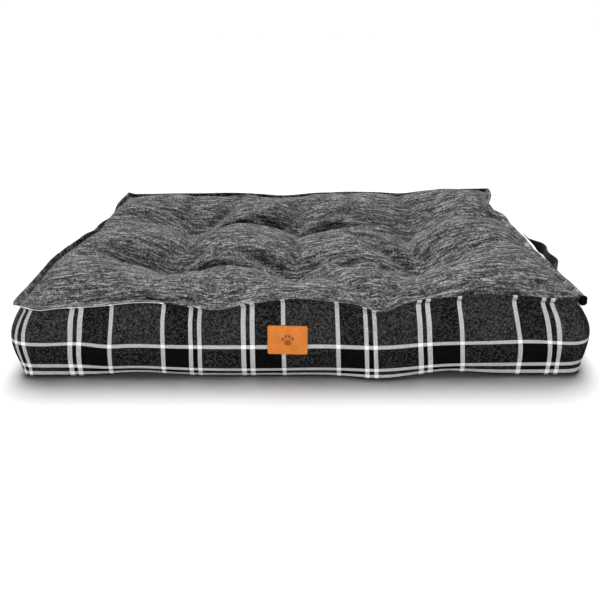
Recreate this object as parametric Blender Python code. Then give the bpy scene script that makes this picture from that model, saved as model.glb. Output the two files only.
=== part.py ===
"""Pet cushion bed: a boxed, tufted floor cushion.

A thick fibre filling sits in a cover of woven cloth: a crowned top panel, a plaid boxing
(gusset) of separate panels joined at the four corners, a sewn flange along the top edge and
a flat bottom panel. Six twine ties pull the top down into tufts. The rear boxing holds the
zip of the filling opening, and the right boxing carries a webbing handle.

Units are metres, +Z is up, the front faces -Y. The origin is the centre of the underside.
"""

import math

import bmesh
import bpy

# Driving dimensions
WIDTH = 0.800
DEPTH = 0.600
SEAM_HEIGHT = 0.118
CROWN = 0.020
CROWN_MARGIN = 0.006
CLOTH = 0.0015
GAP = 0.0004

TUFT_COLUMNS = (-WIDTH / 4, 0.0, WIDTH / 4)
TUFT_ROWS = (-DEPTH / 6, DEPTH / 6)
TUFT_DEPTH = 0.054
TUFT_SPREAD = 0.040
TIE_RADIUS = 0.0010
TIE_HOLE_RADIUS = 0.0018
TIE_KNOT_RADIUS = 0.0030

RECESS_HEIGHT = 0.011
RECESS_TOP_RADIUS = 0.0105
RECESS_MOUTH_RADIUS = 0.024
WASHER_RADIUS = 0.0090
WASHER_THICKNESS = 0.0020

FLANGE_HEIGHT = 0.008
FLANGE_THICKNESS = 0.0024

LABEL_WIDTH = 0.057
LABEL_HEIGHT = 0.042
LABEL_THICKNESS = 0.0020
LABEL_CORNER = 0.0025
LABEL_X = -0.010
LABEL_Z = 0.063

ZIP_Z = 0.060
ZIP_LENGTH = 0.520
ZIP_WINDOW = 0.0062
ZIP_SLIT = 0.0003
TAPE_HEIGHT = 0.0148
TAPE_THICKNESS = 0.0006
TAPE_SPLIT = 0.0024
COIL_HEIGHT = 0.0023
COIL_THICKNESS = 0.0014
COIL_SPLIT = 0.0014
COIL_LENGTH = 0.492
STOP_LENGTH = 0.0040

SLIDER_LENGTH = 0.0120
SLIDER_HALF_HEIGHT = 0.0047
SLIDER_WALL = 0.0011
SLIDER_WEB = 0.0008
SLIDER_LIP = 0.0009
SLIDER_REST_X = 0.232
BRIDGE_HEIGHT = 0.0024
BRIDGE_HALF_LENGTH = 0.0050
BRIDGE_FOOT = 0.0013
BRIDGE_RISE = 0.0031
BRIDGE_BAR = 0.0012
PULL_LENGTH = 0.0270
PULL_EYE_WIDTH = 0.0036
PULL_EYE_LENGTH = 0.0054
PULL_WIDTH = 0.0066
PULL_THICKNESS = 0.0012
PULL_BAR = 0.0008

HANDLE_Y = -0.050
HANDLE_Z = 0.089
HANDLE_SPAN = 0.150
HANDLE_DIP = 0.010
HANDLE_BOW = 0.052
HANDLE_WIDTH = 0.020
HANDLE_THICKNESS = 0.0020
HANDLE_SEWN_LENGTH = 0.026
HANDLE_GRIP_HALF = 0.036
HANDLE_AXIS_OUT = 0.003

# Derived positions
HALF_X = WIDTH / 2
HALF_Y = DEPTH / 2
TOP_HALF_X = HALF_X - FLANGE_THICKNESS - GAP
TOP_HALF_Y = HALF_Y - FLANGE_THICKNESS - GAP
GUSSET_LOW = CLOTH + GAP
GUSSET_HIGH = SEAM_HEIGHT - CLOTH - GAP
CORE_HALF_X = HALF_X - CLOTH - GAP
CORE_HALF_Y = HALF_Y - CLOTH - GAP
REAR_INNER = HALF_Y - CLOTH
TAPE_OUTER = REAR_INNER - 2 * GAP - 0.0011
COIL_INNER = TAPE_OUTER + GAP
COIL_OUTER = COIL_INNER + COIL_THICKNESS
SLIDER_OUTER_LOW = COIL_OUTER + GAP
SLIDER_OUTER_HIGH = SLIDER_OUTER_LOW + SLIDER_WALL
SLIDER_INNER_HIGH = TAPE_OUTER - TAPE_THICKNESS - GAP
SLIDER_INNER_LOW = SLIDER_INNER_HIGH - SLIDER_WALL
PULL_AXIS_Y = SLIDER_OUTER_HIGH + 0.0016
TUFTS = [(x, y) for y in TUFT_ROWS for x in TUFT_COLUMNS]


def material(name, colour, roughness, metallic=0.0):
    made = bpy.data.materials.new(name)
    made.use_nodes = True
    shader = made.node_tree.nodes["Principled BSDF"]
    shader.inputs["Base Color"].default_value = (*colour, 1.0)
    shader.inputs["Roughness"].default_value = roughness
    shader.inputs["Metallic"].default_value = metallic
    return made


def new_object(name, mesh, finish, origin=(0.0, 0.0, 0.0)):
    """An object whose mesh was built in world places, with its own origin on a chosen point."""
    bmesh.ops.recalc_face_normals(mesh, faces=mesh.faces)
    bmesh.ops.translate(mesh, verts=mesh.verts, vec=[-c for c in origin])
    data = bpy.data.meshes.new(name)
    mesh.to_mesh(data)
    mesh.free()
    data.materials.append(finish)
    made = bpy.data.objects.new(name, data)
    made.location = origin
    bpy.context.scene.collection.objects.link(made)
    return made


def hide_cutter(cutter):
    cutter.hide_render = True
    cutter.display_type = "WIRE"


def boolean(target, cutter, operation="DIFFERENCE"):
    modifier = target.modifiers.new(cutter.name, "BOOLEAN")
    modifier.operation = operation
    modifier.object = cutter
    hide_cutter(cutter)


def add_box(mesh, low, high):
    """Adds the box between two corners to a mesh."""
    made = bmesh.ops.create_cube(mesh, size=1.0)["verts"]
    for vertex in made:
        for axis in range(3):
            share = vertex.co[axis] + 0.5
            vertex.co[axis] = low[axis] + (high[axis] - low[axis]) * share


def add_prism(mesh, outline, axis, low, high):
    """Extrudes a flat outline along X, Y or Z. The outline gives the other two axes in order."""
    others = [i for i in range(3) if i != axis]
    rings = []
    for level in (low, high):
        ring = []
        for pair in outline:
            place = [0.0, 0.0, 0.0]
            place[axis] = level
            place[others[0]], place[others[1]] = pair
            ring.append(mesh.verts.new(place))
        rings.append(ring)
    count = len(outline)
    for i in range(count):
        j = (i + 1) % count
        mesh.faces.new((rings[0][i], rings[0][j], rings[1][j], rings[1][i]))
    mesh.faces.new(rings[0])
    mesh.faces.new(list(reversed(rings[1])))


def add_turned(mesh, profile, centre, sides):
    """Turns a profile of (radius, height) points about the vertical through centre.

    A radius of zero makes a pole point. A profile that doesn't start and end at a pole is
    closed on itself, which makes a ring.
    """
    rings = []
    for radius, height in profile:
        if radius == 0.0:
            rings.append([mesh.verts.new((centre[0], centre[1], height))])
            continue
        ring = []
        for i in range(sides):
            turn = 2 * math.pi * i / sides
            x = centre[0] + radius * math.cos(turn)
            y = centre[1] + radius * math.sin(turn)
            ring.append(mesh.verts.new((x, y, height)))
        rings.append(ring)
    pairs = list(zip(rings, rings[1:]))
    if len(rings[0]) > 1:
        pairs.append((rings[-1], rings[0]))
    for below, above in pairs:
        for i in range(sides):
            j = (i + 1) % sides
            corners = [below[i % len(below)], below[j % len(below)]]
            corners += [above[j % len(above)], above[i % len(above)]]
            unique = list(dict.fromkeys(corners))
            mesh.faces.new(unique)


def grid_lines(half, count, inner_half):
    """Evenly spaced lines over the full cushion, with the two end lines moved to the edge."""
    lines = [-half + 2 * half * i / count for i in range(count + 1)]
    lines[0] = -inner_half
    lines[-1] = inner_half
    return lines


def add_height_solid(mesh, xs, ys, lower, upper):
    """A closed solid between two height functions, on one grid with matching diagonals."""
    layers = []
    for height in (lower, upper):
        rows = [[mesh.verts.new((x, y, height(x, y))) for x in xs] for y in ys]
        layers.append(rows)
    for rows in layers:
        for j in range(len(ys) - 1):
            for i in range(len(xs) - 1):
                a, b = rows[j][i], rows[j][i + 1]
                c, d = rows[j + 1][i + 1], rows[j + 1][i]
                mesh.faces.new((a, b, c))
                mesh.faces.new((a, c, d))
    borders = []
    for rows in layers:
        loop = list(rows[0])
        loop += [row[-1] for row in rows[1:]]
        loop += list(reversed(rows[-1][:-1]))
        loop += [row[0] for row in reversed(rows[1:-1])]
        borders.append(loop)
    count = len(borders[0])
    for i in range(count):
        j = (i + 1) % count
        mesh.faces.new((borders[0][i], borders[0][j], borders[1][j], borders[1][i]))


def top_height(x, y):
    """Outer face of the top panel: a low crown with a pulled-down tuft at each tie."""
    across = min(1.0, abs(x) / (HALF_X - CROWN_MARGIN))
    along = min(1.0, abs(y) / (HALF_Y - CROWN_MARGIN))
    height = SEAM_HEIGHT + CROWN * (1 - across**4) * (1 - along**4)
    for tuft_x, tuft_y in TUFTS:
        distance = math.hypot(x - tuft_x, y - tuft_y)
        height -= TUFT_DEPTH * math.exp(-0.5 * (distance / TUFT_SPREAD) ** 2)
    return height


def build_fibre_fill(finish):
    """The filling, with channels for the ties, room for the washers and for the zip slider."""
    mesh = bmesh.new()
    xs = grid_lines(HALF_X, 32, CORE_HALF_X)
    ys = grid_lines(HALF_Y, 24, CORE_HALF_Y)
    floor = CLOTH + GAP
    add_height_solid(
        mesh,
        xs,
        ys,
        lambda x, y: floor,
        lambda x, y: top_height(x, y) - CLOTH - GAP - 0.0002,
    )
    fill = new_object("fibre_fill", mesh, finish)
    mesh = bmesh.new()
    for centre in TUFTS:
        top = RECESS_HEIGHT + CLOTH + GAP
        profile = [
            (0.0, -0.005),
            (RECESS_MOUTH_RADIUS + 0.0050, -0.005),
            (RECESS_MOUTH_RADIUS + 0.0030, floor),
            (RECESS_TOP_RADIUS + 0.0025, top),
            (0.0030, top),
            (0.0030, SEAM_HEIGHT + 0.050),
            (0.0, SEAM_HEIGHT + 0.050),
        ]
        add_turned(mesh, profile, centre, 20)
    boolean(fill, new_object("cut_tie_channels", mesh, finish))
    mesh = bmesh.new()
    half_groove = TAPE_SPLIT / 2 + TAPE_HEIGHT + 0.0012
    add_box(
        mesh,
        (-ZIP_LENGTH / 2 - 0.003, SLIDER_INNER_LOW - 0.0010, ZIP_Z - half_groove),
        (ZIP_LENGTH / 2 + 0.003, HALF_Y + 0.010, ZIP_Z + half_groove),
    )
    boolean(fill, new_object("cut_zip_groove", mesh, finish))
    return fill


def build_top_panel(finish):
    mesh = bmesh.new()
    xs = grid_lines(HALF_X, 32, TOP_HALF_X)
    ys = grid_lines(HALF_Y, 24, TOP_HALF_Y)
    add_height_solid(mesh, xs, ys, lambda x, y: top_height(x, y) - CLOTH, top_height)
    panel = new_object("top_panel", mesh, finish)
    mesh = bmesh.new()
    for centre in TUFTS:
        profile = [
            (0.0, 0.02),
            (TIE_HOLE_RADIUS, 0.02),
            (TIE_HOLE_RADIUS, 0.2),
            (0.0, 0.2),
        ]
        add_turned(mesh, profile, centre, 12)
    boolean(panel, new_object("cut_top_holes", mesh, finish))
    return panel


def build_bottom_panel(finish):
    """A flat panel that the ties and washers pull up into six shallow recesses."""
    mesh = bmesh.new()
    add_box(mesh, (-HALF_X, -HALF_Y, 0.0), (HALF_X, HALF_Y, CLOTH))
    panel = new_object("bottom_panel", mesh, finish)
    slope = (RECESS_MOUTH_RADIUS - RECESS_TOP_RADIUS) / RECESS_HEIGHT
    domes = bmesh.new()
    hollows = bmesh.new()
    holes = bmesh.new()
    for centre in TUFTS:
        dome_top = RECESS_HEIGHT + CLOTH
        add_turned(
            domes,
            [
                (0.0, CLOTH / 2),
                (RECESS_MOUTH_RADIUS + 0.0012, CLOTH / 2),
                (RECESS_TOP_RADIUS + 0.0012, dome_top),
                (0.0, dome_top),
            ],
            centre,
            24,
        )
        add_turned(
            hollows,
            [
                (0.0, -0.002),
                (RECESS_MOUTH_RADIUS + 0.002 * slope, -0.002),
                (RECESS_TOP_RADIUS, RECESS_HEIGHT),
                (0.0, RECESS_HEIGHT),
            ],
            centre,
            24,
        )
        add_turned(
            holes,
            [
                (0.0, RECESS_HEIGHT - 0.003),
                (TIE_HOLE_RADIUS, RECESS_HEIGHT - 0.003),
                (TIE_HOLE_RADIUS, dome_top + 0.003),
                (0.0, dome_top + 0.003),
            ],
            centre,
            12,
        )
    boolean(panel, new_object("add_recess_domes", domes, finish), "UNION")
    boolean(panel, new_object("cut_recess_hollows", hollows, finish))
    boolean(panel, new_object("cut_bottom_holes", holes, finish))
    return panel


def build_gusset_boxes(finish):
    """The front, left and right boxing panels, which meet the others at the corner seams."""
    side = HALF_Y - CLOTH - GAP
    plates = {
        "gusset_front": ((-HALF_X, -HALF_Y), (HALF_X, -HALF_Y + CLOTH)),
        "gusset_left": ((-HALF_X, -side), (-HALF_X + CLOTH, side)),
        "gusset_right": ((HALF_X - CLOTH, -side), (HALF_X, side)),
    }
    for name, (low, high) in plates.items():
        mesh = bmesh.new()
        add_box(mesh, (*low, GUSSET_LOW), (*high, GUSSET_HIGH))
        new_object(name, mesh, finish)


def build_rear_gusset(finish):
    """Two strips that meet beyond the zip's ends and leave a window along its teeth."""
    end = ZIP_LENGTH / 2
    for name, sign, edge in (
        ("gusset_back_upper", 1, GUSSET_HIGH),
        ("gusset_back_lower", -1, GUSSET_LOW),
    ):
        near = ZIP_Z + sign * ZIP_SLIT / 2
        far = ZIP_Z + sign * ZIP_WINDOW
        outline = [
            (-HALF_X, edge),
            (-HALF_X, near),
            (-end, near),
            (-end, far),
            (end, far),
            (end, near),
            (HALF_X, near),
            (HALF_X, edge),
        ]
        mesh = bmesh.new()
        add_prism(mesh, outline, 1, REAR_INNER, HALF_Y)
        new_object(name, mesh, finish)


def build_flanges(finish):
    """The sewn ridge that stands along each side of the top edge."""
    low = SEAM_HEIGHT - CLOTH
    high = low + FLANGE_HEIGHT
    thick = FLANGE_THICKNESS
    side = HALF_Y - thick - GAP
    plates = {
        "top_flange_front": ((-HALF_X, -HALF_Y), (HALF_X, -HALF_Y + thick)),
        "top_flange_back": ((-HALF_X, HALF_Y - thick), (HALF_X, HALF_Y)),
        "top_flange_left": ((-HALF_X, -side), (-HALF_X + thick, side)),
        "top_flange_right": ((HALF_X - thick, -side), (HALF_X, side)),
    }
    for name, (near, far) in plates.items():
        mesh = bmesh.new()
        add_box(mesh, (*near, low), (*far, high))
        new_object(name, mesh, finish)


def build_tuft(index, centre, twine, felt):
    """A twine tie with a knot at each end, and the felt washer that its lower knot holds."""
    washer_top = RECESS_HEIGHT - GAP
    washer_low = washer_top - WASHER_THICKNESS
    knot_top = washer_low - GAP
    top_knot_low = top_height(*centre) + GAP
    steps = 4
    lower_knot = []
    upper_knot = []
    for i in range(1, steps):
        turn = math.pi * i / steps
        radius = TIE_KNOT_RADIUS * math.sin(turn)
        lower_knot.append((radius, knot_top - TIE_KNOT_RADIUS * (1 + math.cos(turn))))
        upper_knot.append((radius, top_knot_low + TIE_KNOT_RADIUS * (1 - math.cos(turn))))
    profile = [(0.0, knot_top - 2 * TIE_KNOT_RADIUS)]
    profile += lower_knot
    profile += [(TIE_RADIUS, knot_top), (TIE_RADIUS, top_knot_low)]
    profile += upper_knot
    profile.append((0.0, top_knot_low + 2 * TIE_KNOT_RADIUS))
    mesh = bmesh.new()
    add_turned(mesh, profile, centre, 12)
    tie = new_object(f"tuft_tie_{index}", mesh, twine)
    tie.data.shade_smooth()
    mesh = bmesh.new()
    ring = [
        (TIE_HOLE_RADIUS, washer_low),
        (WASHER_RADIUS, washer_low),
        (WASHER_RADIUS, washer_top),
        (TIE_HOLE_RADIUS, washer_top),
    ]
    add_turned(mesh, ring, centre, 24)
    new_object(f"tuft_washer_{index}", mesh, felt)


def rounded_rectangle(width, height, corner, centre, steps=4):
    outline = []
    for quarter in range(4):
        sign_x = (1, -1, -1, 1)[quarter]
        sign_z = (1, 1, -1, -1)[quarter]
        corner_x = centre[0] + sign_x * (width / 2 - corner)
        corner_z = centre[1] + sign_z * (height / 2 - corner)
        for i in range(steps + 1):
            turn = math.pi / 2 * (quarter + i / steps)
            x = corner_x + corner * math.cos(turn)
            z = corner_z + corner * math.sin(turn)
            outline.append((x, z))
    return outline


def build_label(finish):
    """The blank leather patch sewn on the front boxing."""
    outline = rounded_rectangle(LABEL_WIDTH, LABEL_HEIGHT, LABEL_CORNER, (LABEL_X, LABEL_Z))
    face = -HALF_Y - GAP
    mesh = bmesh.new()
    add_prism(mesh, outline, 1, face - LABEL_THICKNESS, face)
    new_object("label_patch", mesh, finish)


def build_zip(tape_cloth, nylon, metal):
    """Tapes, coil rows and end stops. The rows stay apart so the slider's web can pass."""
    half = ZIP_LENGTH / 2
    for name, sign in (("upper", 1), ("lower", -1)):
        tape = sorted((ZIP_Z + sign * TAPE_SPLIT / 2, ZIP_Z + sign * (TAPE_SPLIT / 2 + TAPE_HEIGHT)))
        mesh = bmesh.new()
        add_box(
            mesh,
            (-half, TAPE_OUTER - TAPE_THICKNESS, tape[0]),
            (half, TAPE_OUTER, tape[1]),
        )
        new_object(f"zip_tape_{name}", mesh, tape_cloth)
        coil = sorted((ZIP_Z + sign * COIL_SPLIT / 2, ZIP_Z + sign * (COIL_SPLIT / 2 + COIL_HEIGHT)))
        reach = COIL_LENGTH / 2
        mesh = bmesh.new()
        add_box(mesh, (-reach, COIL_INNER, coil[0]), (reach, COIL_OUTER, coil[1]))
        new_object(f"zip_coil_{name}", mesh, nylon)
        start = reach + GAP
        mesh = bmesh.new()
        add_box(
            mesh,
            (start, COIL_INNER, coil[0]),
            (start + STOP_LENGTH, COIL_OUTER, coil[1]),
        )
        new_object(f"zip_top_stop_{name}", mesh, metal)
    reach = COIL_SPLIT / 2 + COIL_HEIGHT
    start = -COIL_LENGTH / 2 - GAP
    mesh = bmesh.new()
    add_box(
        mesh,
        (start - STOP_LENGTH, COIL_INNER, ZIP_Z - reach),
        (start, COIL_OUTER, ZIP_Z + reach),
    )
    new_object("zip_bottom_stop", mesh, metal)


def build_slider(finish):
    """Two wings joined by a web between the coil rows, with a bridge for the pull."""
    half = SLIDER_HALF_HEIGHT
    web = SLIDER_WEB / 2
    lip_reach = SLIDER_OUTER_LOW - 0.0012
    upper = [
        (SLIDER_INNER_LOW, half),
        (SLIDER_INNER_HIGH, half),
        (SLIDER_INNER_HIGH, web),
        (SLIDER_OUTER_LOW, web),
        (SLIDER_OUTER_LOW, half - SLIDER_LIP),
        (lip_reach, half - SLIDER_LIP),
        (lip_reach, half),
        (SLIDER_OUTER_HIGH, half),
    ]
    outline = [(y, ZIP_Z + z) for y, z in upper]
    outline += [(y, ZIP_Z - z) for y, z in reversed(upper)]
    pivot = (SLIDER_REST_X, SLIDER_OUTER_LOW, ZIP_Z)
    start = SLIDER_REST_X - SLIDER_LENGTH / 2
    mesh = bmesh.new()
    add_prism(mesh, outline, 0, start, start + SLIDER_LENGTH)
    slider = new_object("zip_slider", mesh, finish, pivot)
    base = SLIDER_OUTER_HIGH - 0.0003
    under = SLIDER_OUTER_HIGH + BRIDGE_RISE
    reach = BRIDGE_HALF_LENGTH
    inner = reach - BRIDGE_FOOT
    arch = [
        (-reach, base),
        (-inner, base),
        (-inner, under),
        (inner, under),
        (inner, base),
        (reach, base),
        (reach, under + BRIDGE_BAR * 0.4),
        (inner, under + BRIDGE_BAR),
        (-inner, under + BRIDGE_BAR),
        (-reach, under + BRIDGE_BAR * 0.4),
    ]
    outline = [(SLIDER_REST_X + x, y) for x, y in arch]
    mesh = bmesh.new()
    add_prism(mesh, outline, 2, ZIP_Z - BRIDGE_HEIGHT / 2, ZIP_Z + BRIDGE_HEIGHT / 2)
    boolean(slider, new_object("add_bridge", mesh, finish), "UNION")
    return slider


def build_pull(slider, finish):
    """The pull tab, which turns on its crossbar under the slider's bridge."""
    half = PULL_WIDTH / 2
    tail = -PULL_LENGTH + PULL_BAR
    outline = [
        (PULL_BAR, half),
        (tail + 0.003, half + 0.0008),
        (tail, half - 0.0012),
        (tail, -half + 0.0012),
        (tail + 0.003, -half - 0.0008),
        (PULL_BAR, -half),
    ]
    low = PULL_AXIS_Y - PULL_THICKNESS / 2
    high = PULL_AXIS_Y + PULL_THICKNESS / 2
    mesh = bmesh.new()
    add_prism(mesh, [(SLIDER_REST_X + x, ZIP_Z + z) for x, z in outline], 1, low, high)
    pull = new_object("zip_pull", mesh, finish, (SLIDER_REST_X, PULL_AXIS_Y, ZIP_Z))
    mesh = bmesh.new()
    add_box(
        mesh,
        (SLIDER_REST_X - PULL_BAR - PULL_EYE_LENGTH, low - 0.002, ZIP_Z - PULL_EYE_WIDTH / 2),
        (SLIDER_REST_X - PULL_BAR, high + 0.002, ZIP_Z + PULL_EYE_WIDTH / 2),
    )
    boolean(pull, new_object("cut_pull_eye", mesh, finish))
    pull.parent = slider
    pull.matrix_parent_inverse = slider.matrix_world.inverted()
    return pull


def handle_offset(along):
    """How far the strap's middle line stands off the boxing, at a distance along its span.

    The slack strap bows out near both its sewn ends and sags back between them.
    """
    flat = HALF_X + GAP + HANDLE_THICKNESS / 2
    if abs(along) >= HANDLE_SPAN / 2:
        return flat
    near_middle = math.cos(math.pi * along / HANDLE_SPAN) ** 2
    return flat + near_middle * (HANDLE_DIP + HANDLE_BOW * (1 - near_middle))


def strap_outline(start, end, steps):
    """Plan outline of a stretch of strap, its thickness set off square to its middle line.

    The two ends are cut square to Y, so that the grip turns past the sewn ends.
    """
    inner = []
    outer = []
    small = 0.0005
    for i in range(steps + 1):
        along = start + (end - start) * i / steps
        slope = (handle_offset(along + small) - handle_offset(along - small)) / (2 * small)
        length = math.hypot(1.0, slope)
        half = HANDLE_THICKNESS / 2
        x = handle_offset(along)
        y = HANDLE_Y + along
        if i in (0, steps):
            inner.append((x - half * length, y))
            outer.append((x + half * length, y))
        else:
            inner.append((x - half / length, y + half * slope / length))
            outer.append((x + half / length, y - half * slope / length))
    return inner + list(reversed(outer))


def build_handle(finish):
    """The webbing handle: two ends sewn flat to the boxing and the loose grip between them."""
    low = HANDLE_Z - HANDLE_WIDTH / 2
    high = HANDLE_Z + HANDLE_WIDTH / 2
    far = HANDLE_SPAN / 2 + HANDLE_SEWN_LENGTH
    near = HANDLE_GRIP_HALF + GAP
    stretches = {
        "handle_end_front": (-far, -near, 16),
        "handle_end_back": (near, far, 16),
        "side_handle": (-HANDLE_GRIP_HALF, HANDLE_GRIP_HALF, 14),
    }
    for name, (start, end, steps) in stretches.items():
        mesh = bmesh.new()
        add_prism(mesh, strap_outline(start, end, steps), 2, low, high)
        axis = (HALF_X + HANDLE_AXIS_OUT, HANDLE_Y, HANDLE_Z)
        origin = axis if name == "side_handle" else (HALF_X, HANDLE_Y + (start + end) / 2, HANDLE_Z)
        new_object(name, mesh, finish, origin)


def main():
    for leftover in list(bpy.data.objects):
        bpy.data.objects.remove(leftover)
    melange = material("melange_cloth", (0.085, 0.087, 0.092), 0.95)
    plaid = material("plaid_cloth", (0.040, 0.041, 0.045), 0.92)
    base_cloth = material("base_cloth", (0.030, 0.030, 0.032), 0.90)
    fibre = material("polyester_fibre", (0.80, 0.80, 0.78), 0.98)
    leather = material("tan_leather", (0.56, 0.21, 0.045), 0.55)
    twine = material("black_twine", (0.020, 0.020, 0.022), 0.85)
    felt = material("dark_felt", (0.045, 0.045, 0.048), 0.97)
    tape_cloth = material("zip_tape_cloth", (0.018, 0.018, 0.020), 0.90)
    nylon = material("zip_nylon", (0.015, 0.015, 0.017), 0.40)
    steel = material("zip_metal", (0.10, 0.10, 0.11), 0.30, 1.0)
    webbing = material("webbing", (0.022, 0.022, 0.025), 0.88)

    build_fibre_fill(fibre)
    build_top_panel(melange)
    build_bottom_panel(base_cloth)
    build_gusset_boxes(plaid)
    build_rear_gusset(plaid)
    build_flanges(plaid)
    for index, centre in enumerate(TUFTS, start=1):
        build_tuft(index, centre, twine, felt)
    build_label(leather)
    build_zip(tape_cloth, nylon, steel)
    slider = build_slider(steel)
    bpy.context.view_layer.update()
    build_pull(slider, steel)
    build_handle(webbing)


main()
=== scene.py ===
"""The looks of the pet cushion bed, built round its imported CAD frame.

The cover is one cloth simulation: flat-cut panels are pulled down at the tufts and along the
top seam, and blown up by a little pressure. Its panels are then split into separate pieces.
Everything else is laid along that cloth: the flange, the patch, the handle, the zip and the
stitching. Lengths are metres, in the frame of the CAD.
"""

import math

import bmesh
import bpy
import numpy as np
from mathutils import Euler, Matrix, Vector
from mathutils.bvhtree import BVHTree


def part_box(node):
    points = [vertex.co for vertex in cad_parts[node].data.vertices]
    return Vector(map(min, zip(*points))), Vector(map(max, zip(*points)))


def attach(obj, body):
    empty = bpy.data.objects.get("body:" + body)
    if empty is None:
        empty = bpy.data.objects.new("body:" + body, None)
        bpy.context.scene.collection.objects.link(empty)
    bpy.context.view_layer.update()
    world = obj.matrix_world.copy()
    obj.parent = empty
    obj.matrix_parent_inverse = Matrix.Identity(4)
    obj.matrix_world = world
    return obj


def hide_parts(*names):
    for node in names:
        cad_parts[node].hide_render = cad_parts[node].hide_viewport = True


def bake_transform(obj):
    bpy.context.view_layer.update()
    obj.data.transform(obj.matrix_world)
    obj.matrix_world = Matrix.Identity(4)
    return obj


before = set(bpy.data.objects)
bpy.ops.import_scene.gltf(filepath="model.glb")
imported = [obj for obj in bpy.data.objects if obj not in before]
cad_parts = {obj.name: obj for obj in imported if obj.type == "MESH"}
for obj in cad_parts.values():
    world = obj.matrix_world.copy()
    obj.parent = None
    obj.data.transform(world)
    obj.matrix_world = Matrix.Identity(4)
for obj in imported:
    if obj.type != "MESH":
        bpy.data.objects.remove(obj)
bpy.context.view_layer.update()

# Places read from the CAD
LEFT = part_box("gusset_left")[0][0]
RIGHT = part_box("gusset_right")[1][0]
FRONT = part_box("gusset_front")[0][1]
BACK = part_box("gusset_back_upper")[1][1]
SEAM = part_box("top_flange_front")[0][2]
WIDTH = RIGHT - LEFT
DEPTH = BACK - FRONT
ZIP_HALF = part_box("zip_tape_upper")[1][0]
ZIP_HEIGHT = (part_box("zip_coil_lower")[0][2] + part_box("zip_coil_upper")[1][2]) / 2
TIES = [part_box(f"tuft_tie_{i}") for i in range(1, 7)]
# Each tie leans a little on its way up: the sideways shift of its top, in millimetres
LEANS = ((-12, 8), (-8, -16), (-6, 4), (-12, 0), (-12, 4), (4, -18))
TUFTS = [
    ((a[0] + b[0]) / 2 + dx / 1000, (a[1] + b[1]) / 2 + dy / 1000)
    for (a, b), (dx, dy) in zip(TIES, LEANS)
]

# The cloth's cut and grid
CELLS_X = 100
CELLS_Y = 75
CELLS_Z = 16
BOXING_CUT = 0.126
BOXING_SWELL = 0.032
SWELL_POWER = 4
SEAM_INSET = 0.007
BASE_INSET_X = -0.012
BASE_INSET_Y = 0.001
BASE_HEIGHT = 0.0008
BASE_CORNER = 0.020
HEM_LIFT = 0.002
HEM_REACH = 0.03
ZIP_WINDOW = 0.0062
CLOTH_THICKNESS = 0.0012
TUFT_HEIGHT = SEAM - 0.044
TOP_SLACK = 0.10
TUFT_REACH_X = 0.20
TUFT_REACH_Y = 0.10
EDGE_BAND = 0.12
EDGE_TAUT = 0.85
CORNER_TAUT = 0.15
SIDE_CREASE = 0.7
# What the cloth is like while it is simulated
CLOTH_SETTINGS = {
    "quality": 6,
    "mass": 0.2,
    "tension_stiffness": 20,
    "compression_stiffness": 10,
    "shear_stiffness": 6,
    "bending_stiffness": 0.4,
    "tension_damping": 8,
    "compression_damping": 8,
    "shear_damping": 8,
    "air_damping": 2,
}
SIM_FRAMES = 45
PULL_FRAMES = 18
PRESSURE = 10.0

# The recesses of the base round the washers underneath
WASHER_BOXES = [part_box(f"tuft_washer_{i}") for i in range(1, 7)]
WASHERS = [((a[0] + b[0]) / 2, (a[1] + b[1]) / 2) for a, b in WASHER_BOXES]
RECESS_HEIGHT = 0.0112
RECESS_FLOOR = 0.0115
RECESS_MOUTH = 0.034

# The gathers at the ties, and the valleys between the outer lobes
CREASE_HEIGHT = 0.0014
CREASE_REACH = 0.030
CREASE_START = 0.008
SIDE_VALLEY = 0.014
END_VALLEY = 0.007
VALLEY_WIDTH = 0.030

# What evens out the boxing: rounds of averaging, then a swell as a share of the width
EASE_ROUNDS = 10
EASE_SWELL = 0.013
CORNER_SWELL = 0.014
# The extra swell at the front right corner: where it starts and over what it grows, as shares
# of the depth towards the front; and the share past which the front hangs
CORNER_START = 0.2
CORNER_REACH = 0.25
HANG_START = 0.4
# How far the boxing is drawn in just under the flange, row by row, and how flat the sides stay
SEAM_TUCK = (0.0060, 0.0030)
TUCK_POWER = 24
# Where the front boxing hangs lower: (x, half-width, depth)
FRONT_SAGS = ((-0.275, 0.032, 0.0045), (-0.10, 0.16, 0.0020), (0.125, 0.060, 0.0055))

# The filling, just inside the cloth
FILL_GAP = 0.0035

# The flange: its cut, how far its corners stand out, and the fold at the front right one
FLANGE_HEIGHT = 0.009
FLANGE_THICKNESS = 0.0024
WHITE_RIM_END = 0.27
DARK_RIM_STRETCH = 0.62
# The first stretch of the flange's profile that is top cloth
UPPER_FACE = 7
FRONT_EAR = 0.55
BACK_EAR = 1.1
FOLD_SIZE = (0.0055, 0.0055, 0.0075)
FOLD_SHIFT = (0.003, -0.002, 0.001)
# A place on the plaid where both ways of yarn are black
FOLD_CLOTH = (0.080, -0.088)
# How far along the sides each key is, from the front left corner, and the flange's angle there
FLANGE_LEANS = (
    (0.0, 20), (0.05, -8), (0.28, 2), (0.45, 24), (0.62, 30), (0.82, 62), (1.0, 60),
    (1.15, 20), (1.6, 10), (1.85, 30), (2.0, 70), (2.3, 30), (2.7, 55), (3.0, 65),
    (3.2, 80), (3.8, 75), (3.95, 50), (4.0, 20),
)

# The stitching thread, and the ties' twine
THREAD_RADIUS = 0.0003
TAPER = 0.4
STITCH_OUT = 0.0014
STITCH_SHAPE = ((-0.5, -0.0001), (-0.3, 0.0002), (0.3, 0.0002), (0.5, -0.0001))
TWINE_RADIUS = 0.0008
TWINE_TURNS = 14
KNOT_RADIUS = 0.0024
KNOT_STEPS = 48
KNOT_RISE = 0.0022
FOOT_DROP = 0.0006
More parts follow.
